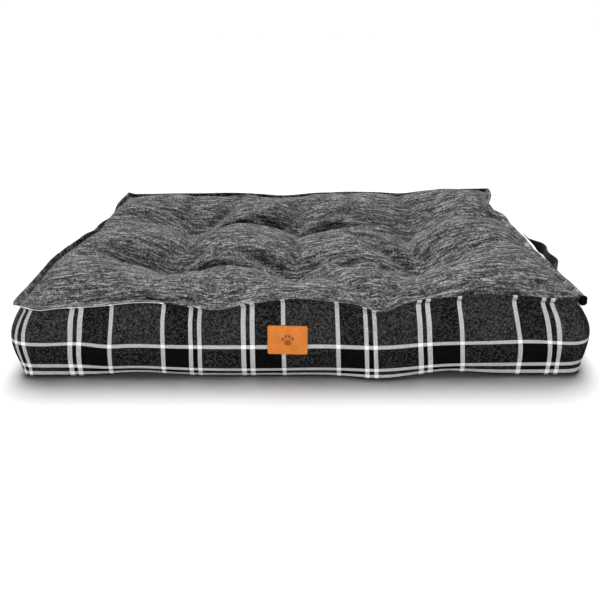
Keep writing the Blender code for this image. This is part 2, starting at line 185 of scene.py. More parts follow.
# The two loose ends of a knot, from the knot outward
TAILS = (
    ((0.001, 0, 0), (0.003, -0.001, 0.0014), (0.006, -0.002, 0.001), (0.009, -0.004, 0.0005)),
    ((-0.001, 0, 0), (-0.003, -0.001, 0.0014), (-0.006, 0.002, 0.001), (-0.009, -0.004, 0.0005)),
)

# The plaid: the distance of each white line's middle along one repeat, and the yarn after it
SETT = 0.2480
SETT_START = 0.02
STRIPE = 0.0063
PAIR_GAP = 0.0125
SETT_LINES = (
    (0.0, "charcoal"),
    (0.0765, "black"),
    (0.1224 - PAIR_GAP / 2, "black"),
    (0.1224 + PAIR_GAP / 2, "charcoal"),
    (0.1975 - PAIR_GAP / 2, "black"),
    (0.1975 + PAIR_GAP / 2, "black"),
)
PLAID_ORIGIN_U = -0.264
PLAID_ORIGIN_V = -0.0095
WEAVE = 0.0011
TWILL = 0.0016
# The heather of both plaid and melange: the length and the pitch of uneven threads
HEATHER = (0.0040, 0.0016)
FINE_THREADS = (0.0060, 0.0018)
SLUBS = (0.0260, 0.0024)
FLECK_END = 0.60

# The patch, in its own plane from its middle: each pad of the paw is (x, z, half width, half height)
PATCH_THICKNESS = 0.0018
PATCH_CORNER = 0.0025
PATCH_BEVEL = 0.0008
PATCH_LINE = 0.0022
PATCH_LINE_HALF = 0.0005
PATCH_LINE_DEPTH = 0.00018
PATCH_TILT = math.radians(-1.5)
PATCH_COLUMNS = 120
PATCH_ROWS = 88
PATCH_ROUNDS = 400
PRESS_DEPTH = 0.0003
PRESS_SLOPE = 0.0004
PAW_PADS = (
    (0.0, -0.0035, 0.0052, 0.0042),
    (-0.0070, 0.0016, 0.0019, 0.0027),
    (-0.0025, 0.0052, 0.0020, 0.0030),
    (0.0025, 0.0052, 0.0020, 0.0030),
    (0.0070, 0.0016, 0.0019, 0.0027),
)

# The handle and the zip's coil
HANDLE_BOXES = [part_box(n) for n in ("handle_end_front", "side_handle", "handle_end_back")]
HANDLE_Y = (HANDLE_BOXES[0][0][1] + HANDLE_BOXES[2][1][1]) / 2
HANDLE_Z = (HANDLE_BOXES[1][0][2] + HANDLE_BOXES[1][1][2]) / 2
HANDLE_WIDTH = HANDLE_BOXES[1][1][2] - HANDLE_BOXES[1][0][2]
HANDLE_END = 0.026
HANDLE_SPAN = HANDLE_BOXES[2][1][1] - HANDLE_BOXES[0][0][1] - 2 * HANDLE_END
HANDLE_THICKNESS = 0.002
# The webbing cut across: (place as a share of its half width, thickness), thin at the selvedges
WEBBING_SECTION = (
    (-1, 0.0007), (-0.97, 0.0016), (-0.85, 0.002), (-0.5, 0.002), (0, 0.002),
    (0.5, 0.002), (0.85, 0.002), (0.97, 0.0016), (1, 0.0007),
)
WEBBING_STEPS = 96
WEBBING_ROUNDS = 12
STITCH_MARGIN_ALONG = 0.004
STITCH_MARGIN_ACROSS = 0.003
HANDLE_DIP = 0.006
HANDLE_BOW = 0.031
COIL_PITCH = 0.0016
COIL_WIRE = 0.00028

# The studio: the camera, the sky, and the strengths and spreads of the lights
LENS = 39.3
CAMERA_PLACE = (0.049, FRONT - 0.825, SEAM + 0.377)
CAMERA_DOWN = math.radians(24.1)
CAMERA_TURN = math.radians(2.77)
CAMERA_ROLL = math.radians(-1.62)
FLOOR_REACH = 12.0
SKY_STRENGTH = 1.02
SKY_TOP = 0.06
SKY_FADE = (0.15, 0.38)
SUN_SPREAD = math.radians(20)
SUN_STRENGTH = 7.6
GLOW_POWER = 2.0
FRONT_POWER = 49
FLOOR_SPREAD = math.radians(44)
FLOOR_STRENGTH = 4.25

SIDE_NAMES = {1: "front", 2: "right", 3: "back", 4: "left"}

TOP, BOX_FRONT, BOX_RIGHT, BOX_BACK, BOX_LEFT, BASE = range(6)
SIDES = (BOX_FRONT, BOX_RIGHT, BOX_BACK, BOX_LEFT)
OUTWARD = {BOX_FRONT: (0, -1), BOX_RIGHT: (1, 0), BOX_BACK: (0, 1), BOX_LEFT: (-1, 0)}


def bump(t, centre, width, height):
    """A smooth hill of that height at centre."""
    return height * math.exp(-(((t - centre) / width) ** 2))


def seam_offset(side, t):
    """(outward, upward) wander of the top seam, at a share t along a side."""
    if side == BOX_FRONT:
        up = bump(t, 0.04, 0.025, -0.004) + bump(t, 0.22, 0.06, 0.005)
        up += bump(t, 0.365, 0.035, -0.009) + bump(t, 0.52, 0.05, 0.006)
        up += bump(t, 0.655, 0.03, -0.011) + bump(t, 0.64, 0.07, -0.004)
        up += bump(t, 0.84, 0.07, 0.004) + bump(t, 0.955, 0.025, -0.003)
        out = bump(t, 0.655, 0.06, 0.006) - bump(t, 0.22, 0.08, 0.004)
        return out, up
    if side == BOX_LEFT:
        out = bump(t, 0.70, 0.13, 0.005) + bump(t, 0.28, 0.09, -0.012)
        return out, bump(t, 0.75, 0.15, 0.006) + bump(t, 0.42, 0.05, -0.007)
    if side == BOX_RIGHT:
        out = -0.011 * math.sin(math.pi * t) + bump(t, 0.81, 0.075, -0.020)
        return out, bump(t, 0.6, 0.2, -0.004) + bump(t, 0.80, 0.07, -0.006)
    return 0.0, -0.004 + bump(t, 0.56, 0.09, -0.007) + bump(t, 0.24, 0.06, -0.006)


def along_x(side):
    """Whether a side of the bed runs along X, like the front and the back."""
    return side in (BOX_FRONT, BOX_BACK)


def side_length(side):
    return WIDTH if along_x(side) else DEPTH


def side_cells(side):
    return CELLS_X if along_x(side) else CELLS_Y


def grid_ring(columns, rows):
    """The (i, j) places round the edge of a grid, from its first corner."""
    ring = [(i, 0) for i in range(columns + 1)]
    ring += [(columns, j) for j in range(1, rows + 1)]
    ring += [(i, rows) for i in range(columns - 1, -1, -1)]
    ring += [(0, j) for j in range(rows - 1, 0, -1)]
    return ring


class Cover:
    """One closed box grid of flat-cut cloth: top, boxing rows and base share their seams."""

    def __init__(self):
        self.points = []
        self.faces = []
        self.panel = []
        self.fabric = []
        self.ring = grid_ring(CELLS_X, CELLS_Y)
        self.top = self.add_sheet(BOXING_CUT)
        self.base = self.add_sheet(0.0)
        self.rows = [[self.top[j][i] for i, j in self.ring]]
        for k in range(1, CELLS_Z):
            z = BOXING_CUT * (1 - k / CELLS_Z)
            swell = BOXING_SWELL * math.sin(math.pi * k / CELLS_Z)
            row = []
            for i, j in self.ring:
                x, y = self.flat(i, j)
                row.append(len(self.points))
                wider = 1 + swell * abs(2 * x / WIDTH) ** SWELL_POWER
                deeper = 1 + swell * abs(2 * y / DEPTH) ** SWELL_POWER
                self.points.append((x * wider, y * deeper, z))
            self.rows.append(row)
        self.rows.append([self.base[j][i] for i, j in self.ring])
        self.add_faces()

    def flat(self, i, j):
        return LEFT + WIDTH * i / CELLS_X, FRONT + DEPTH * j / CELLS_Y

    def add_sheet(self, z):
        rows = []
        for j in range(CELLS_Y + 1):
            row = []
            for i in range(CELLS_X + 1):
                row.append(len(self.points))
                self.points.append((*self.flat(i, j), z))
            rows.append(row)
        return rows

    def side_of(self, r):
        """(side, share along it) of the ring's stretch that starts at place r."""
        for side in SIDES:
            if r < side_cells(side):
                return side, r / side_cells(side)
            r -= side_cells(side)

    def side_places(self, side):
        """The ring's places along one side, from corner to corner."""
        start = sum(side_cells(before) for before in SIDES if before < side)
        return [(start + step) % len(self.ring) for step in range(side_cells(side) + 1)]

    def add_face(self, corners, panel, fabric):
        self.faces.append(corners)
        self.panel.append(panel)
        self.fabric.append(fabric)

    def add_faces(self):
        for j in range(CELLS_Y):
            for i in range(CELLS_X):
                cells = [(i, j), (i + 1, j), (i + 1, j + 1), (i, j + 1)]
                flat = [self.flat(*c) for c in cells]
                self.add_face([self.top[c[1]][c[0]] for c in cells], TOP, flat)
                self.add_face([self.base[c[1]][c[0]] for c in reversed(cells)], BASE, flat[::-1])
        count = len(self.ring)
        for r in range(count):
            panel, share = self.side_of(r)
            s0 = (share - 0.5) * side_length(panel)
            s1 = s0 + side_length(panel) / side_cells(panel)
            for k in range(CELLS_Z):
                v0 = -BOXING_CUT * k / CELLS_Z
                v1 = -BOXING_CUT * (k + 1) / CELLS_Z
                a, b = self.rows[k], self.rows[k + 1]
                n = (r + 1) % count
                corners = [a[r], b[r], b[n], a[n]]
                self.add_face(corners, panel, [(s0, v0), (s0, v1), (s1, v1), (s1, v0)])


def seam_target(cover, r):
    """Where the top seam is sewn to, at a place on the ring."""
    i, j = cover.ring[r]
    x, y = cover.flat(i, j)
    x *= 1 - 2 * SEAM_INSET / WIDTH
    y *= 1 - 2 * SEAM_INSET / DEPTH
    panel, share = cover.side_of(r)
    out, up = seam_offset(panel, share)
    return x + OUTWARD[panel][0] * out, y + OUTWARD[panel][1] * out, SEAM + up


def zip_targets(cover):
    """The rear boxing lies flat along the zip, with a row of points at each edge of its window."""
    held = {}
    middle = CELLS_Z // 2
    plane = BACK - 0.001
    for r in cover.side_places(BOX_BACK):
        x = cover.points[cover.rows[0][r]][0]
        if abs(x) > ZIP_HALF + WIDTH / CELLS_X:
            continue
        for step, height in ((-2, 2.1), (-1, 1), (0, 0), (1, -1), (2, -2.1)):
            held[cover.rows[middle + step][r]] = (x, plane, ZIP_HEIGHT + height * ZIP_WINDOW)
    return held


def rounded_corner(x, y):
    """Draws a point near a corner of the base in, so that the corner is round in plan."""
    across = BASE_CORNER - (WIDTH / 2 - abs(x))
    along = BASE_CORNER - (DEPTH / 2 - abs(y))
    if across <= 0 or along <= 0:
        return x, y
    a, b = across / BASE_CORNER, along / BASE_CORNER
    move_x = across - across * math.sqrt(1 - b * b / 2)
    move_y = along - along * math.sqrt(1 - a * a / 2)
    return x - math.copysign(move_x, x), y - math.copysign(move_y, y)


def base_target(x, y):
    """The base lies flat, and its hem is lifted a little from the floor, more in two places."""
    edge = min(WIDTH / 2 - abs(x), DEPTH / 2 - abs(y))
    near = max(0.0, 1 - edge / HEM_REACH) ** 2
    lift = HEM_LIFT
    if y < 0:
        share = (x - LEFT) / WIDTH
        lift += bump(share, 0.22, 0.07, 0.006) + bump(share, 0.77, 0.06, 0.006)
        y += -near * bump(share, 0.65, 0.06, 0.012)
    x, y = rounded_corner(x, y)
    x *= 1 - 2 * BASE_INSET_X / WIDTH
    y *= 1 - 2 * BASE_INSET_Y / DEPTH
    return x, y, BASE_HEIGHT + near * lift


def pin_targets(cover):
    """Where each held point of the cloth goes, by its number."""
    held = zip_targets(cover)
    for r in range(len(cover.ring)):
        held[cover.rows[0][r]] = seam_target(cover, r)
    for row in cover.base:
        for index in row:
            held[index] = base_target(*cover.points[index][:2])
    for x, y in TUFTS:
        i = round((x - LEFT) / WIDTH * CELLS_X)
        j = round((y - FRONT) / DEPTH * CELLS_Y)
        held[cover.top[j][i]] = (x, y, TUFT_HEIGHT)
    return held


def tautness(x, y):
    """How closely the top's cloth is cut there: roomy between the ties, closer round the edge."""
    beyond_x = min(1.0, max(0.0, (abs(x) - TUFT_REACH_X) / EDGE_BAND))
    beyond_y = min(1.0, max(0.0, (abs(y) - TUFT_REACH_Y) / EDGE_BAND))
    return EDGE_TAUT * max(beyond_x, beyond_y) + CORNER_TAUT * min(beyond_x, beyond_y)


def cloth_object(cover, held):
    data = bpy.data.meshes.new("cover")
    data.from_pydata(cover.points, [], cover.faces)
    made = bpy.data.objects.new("cover", data)
    bpy.context.scene.collection.objects.link(made)
    pins = made.vertex_groups.new(name="pins")
    pins.add(list(held), 1.0, "REPLACE")
    taut = made.vertex_groups.new(name="taut")
    taut.add(list(range(len(cover.points))), 1.0, "REPLACE")
    for row in cover.top[1:-1]:
        for index in row[1:-1]:
            taut.add([index], tautness(*cover.points[index][:2]), "REPLACE")
    made.shape_key_add(name="Basis")
    key = made.shape_key_add(name="pulled")
    for index, place in held.items():
        key.data[index].co = place
    return made, key


def simulate(made, key):
    """Blows the cover up while its held points are pulled into place."""
    modifier = made.modifiers.new("cloth", "CLOTH")
    cloth = modifier.settings
    for name, value in CLOTH_SETTINGS.items():
        setattr(cloth, name, value)
    cloth.use_pressure = True
    cloth.uniform_pressure_force = PRESSURE
    cloth.vertex_group_mass = "pins"
    cloth.pin_stiffness = 1
    cloth.vertex_group_shrink = "taut"
    cloth.shrink_min = -TOP_SLACK
    cloth.shrink_max = 0.0
    cloth.effector_weights.gravity = 0
    modifier.collision_settings.use_collision = False
    modifier.collision_settings.use_self_collision = False
    modifier.point_cache.frame_start = 1
    modifier.point_cache.frame_end = SIM_FRAMES
    scene = bpy.context.scene
    scene.frame_end = SIM_FRAMES
    for value, step in ((0.0, 1), (1.0, PULL_FRAMES)):
        key.value = value
        key.keyframe_insert("value", frame=step)
    for step in range(1, SIM_FRAMES + 1):
        scene.frame_set(step)
    graph = bpy.context.evaluated_depsgraph_get()
    evaluated = made.evaluated_get(graph)
    places = np.empty(len(made.data.vertices) * 3, np.float32)
    evaluated.data.vertices.foreach_get("co", places)
    scene.frame_set(1)
    bpy.data.objects.remove(made)
    return places.reshape(-1, 3)


# ---------------------------------------------------------------- the cloth as pieces


def recess_height(x, y):
    """How high the base is drawn up at a place, round the nearest tie's washer."""
    radius = min(math.hypot(x - cx, y - cy) for cx, cy in WASHERS)
    share = (radius - RECESS_FLOOR) / (RECESS_MOUTH - RECESS_FLOOR)
    share = min(1.0, max(0.0, share))
    return RECESS_HEIGHT * (1 - share * share * (3 - 2 * share))


def valley(x, y):
    """How far the cloth sinks at a place, between the outer lobes, from each tie to the edges."""
    depth = 0.0
    for cx, cy in TUFTS:
        lines = [(x, cx, y, cy, DEPTH / 2 - SEAM_INSET, END_VALLEY)]
        if abs(cx) > WIDTH / 8:
            lines.append((y, cy, x, cx, WIDTH / 2 - SEAM_INSET, SIDE_VALLEY))
        for across, tie_across, along, tie_along, end, deepest in lines:
            run = (abs(along) - abs(tie_along)) / (end - abs(tie_along))
            if 0 < run < 1 and along * tie_along > 0:
                depth += bump(across, tie_across, VALLEY_WIDTH, deepest * 4 * run * (1 - run))
    return depth


def tuft_creases(x, y):
    """Fine gathers of the top cloth, running out from the nearest tie."""
    radius, cx, cy = min((math.hypot(x - cx, y - cy), cx, cy) for cx, cy in TUFTS)
    angle = math.atan2(y - cy, x - cx)
    wave = math.sin(9 * angle + 40 * cx) + 0.6 * math.sin(14 * angle + 90 * cy + 1)
    return CREASE_HEIGHT * wave * math.exp(-radius / CREASE_REACH) * min(1.0, radius / CREASE_START)


def eased_boxing(places, cover):
    """Evens out the boxing's small folds, but not its seams or the flat cloth along the zip."""
    rows = np.array(cover.rows)
    grid = places[rows].astype(np.float64)
    held = zip_targets(cover)
    free = np.array([[index not in held for index in row] for row in cover.rows[1:-1]])
    for _ in range(EASE_ROUNDS):
        around = (np.roll(grid, 1, 1) + np.roll(grid, -1, 1))[1:-1] + grid[:-2] + grid[2:]
        grid[1:-1][free] = (around / 4)[free]
    shape_boxing(grid)
    eased = places.copy()
    eased[rows[1:-1]] = grid[1:-1]
    return eased


def shape_boxing(grid):
    """Swells the boxing's sides, lets its front hang in places, and tucks it in under the flange."""
    x, y, z = grid[:, :, 0], grid[:, :, 1], grid[:, :, 2]
    middle = np.sin(np.linspace(0, math.pi, len(grid)))[:, None]
    front_right = np.clip((-y / DEPTH - CORNER_START) / CORNER_REACH, 0, 1) * (x > 0)
    swell = (EASE_SWELL + CORNER_SWELL * front_right) * middle
    x *= 1 + swell * np.abs(2 * x / WIDTH) ** SWELL_POWER
    sagging = middle * (y < -HANG_START * DEPTH)
    for place, width, depth in FRONT_SAGS:
        z -= sagging * depth * np.exp(-(((x - place) / width) ** 2))
    for row, depth in enumerate(SEAM_TUCK, start=1):
        for line, length in ((x[row], WIDTH), (y[row], DEPTH)):
            line *= 1 - 2 * depth / length * np.abs(2 * line / length) ** TUCK_POWER


def drawn_in(places, cover):
    """Adds the recesses of the base and the valleys of the top to the simulated cloth."""
    shaped = eased_boxing(places, cover).astype(np.float64)
    for row in cover.base:
        for index in row:
            x, y, z = shaped[index]
            shaped[index, 2] = max(z, BASE_HEIGHT) + recess_height(x, y)
    for row in cover.top:
        for index in row:
            x, y, z = shaped[index]
            shaped[index, 2] = z - valley(x, y)
    shaped[:, 2] = np.maximum(shaped[:, 2], BASE_HEIGHT)
    return shaped


def finished_cover(cover, places):
    """The simulated cloth as one smooth mesh, creased along its seams."""
    data = bpy.data.meshes.new("finished")
    data.from_pydata(places.tolist(), [], cover.faces)
    data.polygons.foreach_set("material_index", cover.panel)
    uv = data.uv_layers.new(name="fabric")
    uv.data.foreach_set("uv", np.array(cover.fabric, np.float32).reshape(-1))
    panels_at = {}
    for polygon in data.polygons:
        for key in polygon.edge_keys:
            panels_at.setdefault(key, set()).add(polygon.material_index)
    creases = np.zeros(len(data.edges), np.float32)
    for edge in data.edges:
        panels = panels_at[edge.key]
        if len(panels) > 1:
            creases[edge.index] = 1.0 if TOP in panels else SIDE_CREASE
    data.attributes.new("crease_edge", "FLOAT", "EDGE").data.foreach_set("value", creases)
    made = bpy.data.objects.new("finished", data)
    bpy.context.scene.collection.objects.link(made)
    smooth = made.modifiers.new("smooth", "SUBSURF")
    smooth.levels = 1
    smooth.render_levels = 1
    smooth.uv_smooth = "NONE"
    graph = bpy.context.evaluated_depsgraph_get()
    fine = bpy.data.meshes.new_from_object(made.evaluated_get(graph))
    bpy.data.objects.remove(made)
    top_points = {i for p in fine.polygons if p.material_index == TOP for i in p.vertices}
    for index in top_points:
        point = fine.vertices[index].co
        point.z += tuft_creases(point.x, point.y)
    return fine


def piece(name, data, *materials, body="cushion", slot=None, stands_for=(), thickness=0.0):
    """A new object of a mesh: its materials, its body, its thickness and the nodes it stands for. Its slot
    is not used.
    """
    for material in materials:
        data.materials.append(material)
    made = bpy.data.objects.new(name, data)
    bpy.context.scene.collection.objects.link(made)
    if thickness:
        skin = made.modifiers.new("thickness", "SOLIDIFY")
        skin.thickness = thickness
        skin.offset = -1
    if body:
        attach(made, body)
    if stands_for:
        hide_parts(*stands_for)
    return made


def closed_mesh(name, vertices, faces, fabric=None, slots=None):
    """A smooth mesh with every face turned outward, with its cloth places and material slots."""
    data = bpy.data.meshes.new(name)
    data.from_pydata(vertices, [], faces)
    if fabric is not None:
        uv = data.uv_layers.new(name="fabric")
        uv.data.foreach_set("uv", np.array(fabric, np.float32).ravel())
    if slots is not None:
        data.polygons.foreach_set("material_index", slots)
    mesh = bmesh.new()
    mesh.from_mesh(data)
    bmesh.ops.recalc_face_normals(mesh, faces=mesh.faces)
    mesh.to_mesh(data)
    mesh.free()
    data.shade_smooth()
    return data


def loft(rings, first=0):
    """The faces of a skin through rings of points, numbered from first, with both ends closed."""
    count = len(rings[0])
    faces = []
    for start in range(first, first + (len(rings) - 1) * count, count):
        for k in range(count):
            a, b = start + k, start + (k + 1) % count
            faces.append((a, b, b + count, a + count))
    last = first + (len(rings) - 1) * count
    faces.append(tuple(range(first, first + count)))
    faces.append(tuple(range(last + count - 1, last - 1, -1)))
    return faces


def lofted_mesh(name, rings, cloth, slots=None):
    """A skin through rings of points, with plain ends.

    cloth(ring, k, start) is where point k of a ring lies on the flat cloth, for a face from start.
    """
    faces = loft(rings)
    count = len(rings[0])
    fabric = []
    for face in faces[:-2]:
        fabric += [cloth(*divmod(index, count), face[0] // count) for index in face]
    fabric += [(0, 0)] * (2 * count)
    return closed_mesh(name, [point for ring in rings for point in ring], faces, fabric, slots)


def in_window(face):
    """Whether a face of the rear boxing lies in the opening that the zip closes."""
    middle = face.calc_center_median()
    return abs(middle.x) < ZIP_HALF and abs(middle.z - ZIP_HEIGHT) < ZIP_WINDOW


def panel_piece(fine, panel, name, material, **facts):
    """One panel of the cover as its own sheet, as thick as the cloth."""
    mesh = bmesh.new()
    mesh.from_mesh(fine)
    others = [face for face in mesh.faces if face.material_index != panel]
    if panel == BOX_BACK:
        others += [face for face in mesh.faces if face.material_index == panel and in_window(face)]
    bmesh.ops.delete(mesh, geom=others, context="FACES")
    for face in mesh.faces:
        face.material_index = 0
        face.smooth = True
    data = bpy.data.meshes.new(name)
    mesh.to_mesh(data)
    mesh.free()
    return piece(name, data, material, thickness=CLOTH_THICKNESS, **facts)


def fill_piece(cover, places, material):
    """The polyester fibre that the cover holds, just inside the cloth."""
    data = bpy.data.meshes.new("fibre_filling")
    data.from_pydata(places.tolist(), [], cover.faces)
    inward = [vertex.co - vertex.normal * FILL_GAP for vertex in data.vertices]
    for vertex, place in zip(data.vertices, inward):
        vertex.co = place
    data.shade_smooth()
    return piece("fibre_filling", data, material, slot="polyester_fibre", stands_for=["fibre_fill"])


# ---------------------------------------------------------------- the flange round the top seam


def seam_points(cover, places, side):
    """The seam along one side, as the smoothed cloth has it, with each point's share."""
    ring = cover.side_places(side)
    points = [Vector(places[cover.rows[0][r]]) for r in ring]
    points = refined(points)
    return points, [i / (len(points) - 1) for i in range(len(points))]


def refined(points):
    """One step of the subdivision curve that the smooth mesh follows along a sharp seam."""
    fine = [points[0]]
    for i in range(1, len(points)):
        fine.append((points[i - 1] + points[i]) / 2)
        if i < len(points) - 1:
            fine.append((points[i - 1] + 6 * points[i] + points[i + 1]) / 8)
    fine.append(points[-1])
    return fine


def flange_lean(side, share):
    """The flange's angle above level there: between the two nearest keys, turning smoothly."""
    place = side - BOX_FRONT + share
    for (p0, a0), (p1, a1) in zip(FLANGE_LEANS, FLANGE_LEANS[1:]):
        if place <= p1:
            t = (place - p0) / (p1 - p0)
            t = t * t * (3 - 2 * t)
            wave = 5 * math.sin(31 * place) + 4 * math.sin(53 * place + 1)
            return math.radians(a0 + (a1 - a0) * t + wave * math.sin(math.pi * share))
    return math.radians(FLANGE_LEANS[-1][1])


def flange_frames(points, shares, side):
    """At each seam point: the point, the flange's direction, and the way its upper face looks."""
    frames = []
    plain = Vector((*OUTWARD[side], 0))
    before = Vector((*OUTWARD[SIDES[side - BOX_FRONT - 1]], 0))
    after = Vector((*OUTWARD[SIDES[(side - BOX_FRONT + 1) % 4]], 0))
    for i, (point, share) in enumerate(zip(points, shares)):
        run = points[min(i + 1, len(points) - 1)] - points[max(i - 1, 0)]
        out = Vector((run.y, -run.x, 0)).normalized()
        if i == 0:
            out = (plain + before) * (FRONT_EAR if plain.y + before.y < 0 else BACK_EAR)
        elif i == len(points) - 1:
            out = (plain + after) * (FRONT_EAR if plain.y + after.y < 0 else BACK_EAR)
        lean = flange_lean(side, share)
        up = Vector((0, 0, 1))
        along = math.cos(lean) * out + math.sin(lean) * up
        across = math.cos(lean) * up - math.sin(lean) * out.normalized()
        frames.append((point, along, across))
    return frames


def flange_profile():
    """The flange cut across: (distance from the seam, height, on the boxing's side)."""
    half = FLANGE_THICKNESS / 2
    end = FLANGE_HEIGHT
    outer = [(-0.0015, -0.7), (0.0012, -0.55), (0.003, -0.95), (0.006, -1.0), (end - 0.0010, -0.9)]
    rim = [(end - 0.0003, -0.6), (end, 0.0), (end - 0.0003, 0.6)]
    inner = [(d, -h) for d, h in reversed(outer)]
    return [(d, h * half) for d, h in outer + rim + inner]


def flange_cloth(profile, k, side, share):
    """How far along the boxing cloth a point of the flange's profile is, past the seam."""
    white_rim = side == BOX_FRONT and share < WHITE_RIM_END
    stretch = 1.0 if white_rim else DARK_RIM_STRETCH
    rim = len(profile) // 2
    reach = profile[k][0] if k <= rim else 2 * FLANGE_HEIGHT - profile[k][0]
    return stretch * reach


def flange_piece(cover, places, side, materials):
    """One side's flange: boxing cloth outside and round the rim, top cloth on its upper face."""
    points, shares = seam_points(cover, places, side)
    profile = flange_profile()
    rings = []
    slots = []
    for point, along, across in flange_frames(points, shares, side):
        rings.append([point + along * d + across * h for d, h in profile])
        slots += [0] * UPPER_FACE + [1] * (len(profile) - UPPER_FACE)
    slots[-len(profile):] = [0, 0]

    def cloth(ring, k, start):
        return (shares[ring] - 0.5) * side_length(side), flange_cloth(profile, k, side, shares[start])

    name = SIDE_NAMES[side]
    data = lofted_mesh(f"flange_{name}", rings, cloth, slots)
    return piece(f"flange_{name}", data, *materials, slot="plaid_cloth", stands_for=[f"top_flange_{name}"])


def corner_fold(cover, places, plaid):
    """The boxing cloth's end, folded into a small dark lump at the front right corner."""
    corner = Vector(places[cover.rows[0][CELLS_X]])
    made = bmesh.new()
    bmesh.ops.create_icosphere(made, subdivisions=3, radius=1.0)
    for vertex in made.verts:
        pleat = 1 + 0.16 * math.sin(5 * math.atan2(vertex.co.y, vertex.co.x) + 2 * vertex.co.z)
        size = Vector((FOLD_SIZE[0] * pleat, FOLD_SIZE[1] * pleat, FOLD_SIZE[2]))
        vertex.co = corner + Vector(FOLD_SHIFT) + vertex.co * size
    layer = made.loops.layers.uv.new("fabric")
    for face in made.faces:
        face.smooth = True
        for loop in face.loops:
            loop[layer].uv = (FOLD_CLOTH[0] + loop.vert.co.x - corner.x, FOLD_CLOTH[1])
    data = bpy.data.meshes.new("corner_fold")
    made.to_mesh(data)
    made.free()
    return piece("corner_fold", data, plaid, slot="plaid_cloth")


# ---------------------------------------------------------------- thread, twine and coils


def tubes(name, paths, radius, sides, *materials, tapered=False, **facts):
    """Round strands along several paths, as one mesh; a tapered strand is thin at its ends."""
    vertices = []
    faces = []
    for path in paths:
        rings = []
        normal = None
        for i, point in enumerate(path):
            run = path[min(i + 1, len(path) - 1)] - path[max(i - 1, 0)]
            run.normalize()
            if normal is None:
                normal = run.orthogonal().normalized()
            normal = (normal - run * normal.dot(run)).normalized()
            other = run.cross(normal)
            size = radius * (TAPER if tapered and i in (0, len(path) - 1) else 1.0)
            turns = [2 * math.pi * k / sides for k in range(sides)]
            rings.append([point + size * (math.cos(t) * normal + math.sin(t) * other) for t in turns])
        faces += loft(rings, len(vertices))
        vertices += [point for ring in rings for point in ring]
    return piece(name, closed_mesh(name, vertices, faces), *materials, **facts)


def stitch_paths(points, normals, pitch=0.0036, length=0.0026):
    """Short raised stitches, laid one after another along a line of points."""
    paths = []
    travelled = 0.0
    due = pitch / 2
    for a, b, normal in zip(points, points[1:], normals):
        step = (b - a).length
        run = (b - a).normalized()
        while due <= travelled + step:
            middle = a + run * (due - travelled)
            ends = [middle + run * length * t + normal * h for t, h in STITCH_SHAPE]
            paths.append(ends)
            due += pitch
        travelled += step
    return paths


def topstitching(cover, places, side, thread):
    """The row of stitches that holds the flange, on its upper face and on its outer one."""
    points, shares = seam_points(cover, places, side)
    frames = flange_frames(points, shares, side)[2:-2]
    paths = []
    for sign in (1, -1):
        height = sign * 0.75 * FLANGE_THICKNESS / 2
        line = [p + along * STITCH_OUT + across * height for p, along, across in frames]
        paths += stitch_paths(line, [across * sign for _, _, across in frames])
    name = f"topstitching_{SIDE_NAMES[side]}"
    return tubes(name, paths, THREAD_RADIUS, 5, thread, tapered=True, slot="black_twine")


def tie_paths(x, y, top, washer):
    """A tie's two twisted strands from its washer up to its knot, and the knot's loop and tails."""
    (wx0, wy0, wz0), (wx1, wy1, _) = washer
    foot = Vector(((wx0 + wx1) / 2, (wy0 + wy1) / 2, wz0 - FOOT_DROP))
    head = Vector((x, y, top))
    paths = []
    for strand in (0, math.pi):
        path = []
        for i in range(TWINE_TURNS * 6 + 1):
            share = i / (TWINE_TURNS * 6)
            turn = strand + 2 * math.pi * TWINE_TURNS * share
            offset = Vector((math.cos(turn), math.sin(turn), 0)) * TWINE_RADIUS
            path.append(foot.lerp(head, share) + offset)
        paths.append(path)
    knot = []
    for i in range(KNOT_STEPS + 1):
        turn = 2 * math.pi * i / KNOT_STEPS
        ring = KNOT_RADIUS * (1 + 0.35 * math.cos(3 * turn))
        rise = 0.0012 * math.sin(3 * turn)
        knot.append(head + Vector((ring * math.cos(2 * turn), ring * math.sin(2 * turn), rise)))
    paths.append(knot)
    paths += [[head + Vector(place) for place in tail] for tail in TAILS]
    return paths


def coil_path(box, pitch, phase):
    """The helix of a zip's coil that fills the node's box."""
    low, high = Vector(box[0]), Vector(box[1])
    radius_y = (high.y - low.y) / 2 - COIL_WIRE
    radius_z = (high.z - low.z) / 2 - COIL_WIRE
    centre = (low + high) / 2
    steps = 8
    path = []
    turns = int((high.x - low.x) / pitch)
    for i in range(turns * steps + 1):
        turn = 2 * math.pi * i / steps + phase
        y = centre.y + radius_y * math.cos(turn)
        z = centre.z + radius_z * math.sin(turn)
        path.append(Vector((low.x + pitch * i / steps, y, z)))
    return path


# ---------------------------------------------------------------- the patch


def cloth_tree(fine):
    return BVHTree.FromPolygons(
        [vertex.co.copy() for vertex in fine.vertices],
        [tuple(polygon.vertices) for polygon in fine.polygons],
    )


def blurred(grid, rounds):
    """A grid of numbers, smoothed; its edges keep their own slope."""
    for _ in range(rounds):
        wide = np.pad(grid, 1, mode="reflect", reflect_type="odd")
        grid = (wide[:-2, 1:-1] + wide[2:, 1:-1] + wide[1:-1, :-2] + wide[1:-1, 2:]) / 4
    return grid


def rounded_place(a, b, width, height, corner):
    """A place of the unit square, moved to a rectangle with round corners."""
    x, z = a * width / 2, b * height / 2
    dx = abs(x) - (width / 2 - corner)
    dz = abs(z) - (height / 2 - corner)
    if dx > 0 and dz > 0:
        shrink = max(dx, dz) / math.hypot(dx, dz)
        x = math.copysign(width / 2 - corner + dx * shrink, x)
        z = math.copysign(height / 2 - corner + dz * shrink, z)
    return x, z


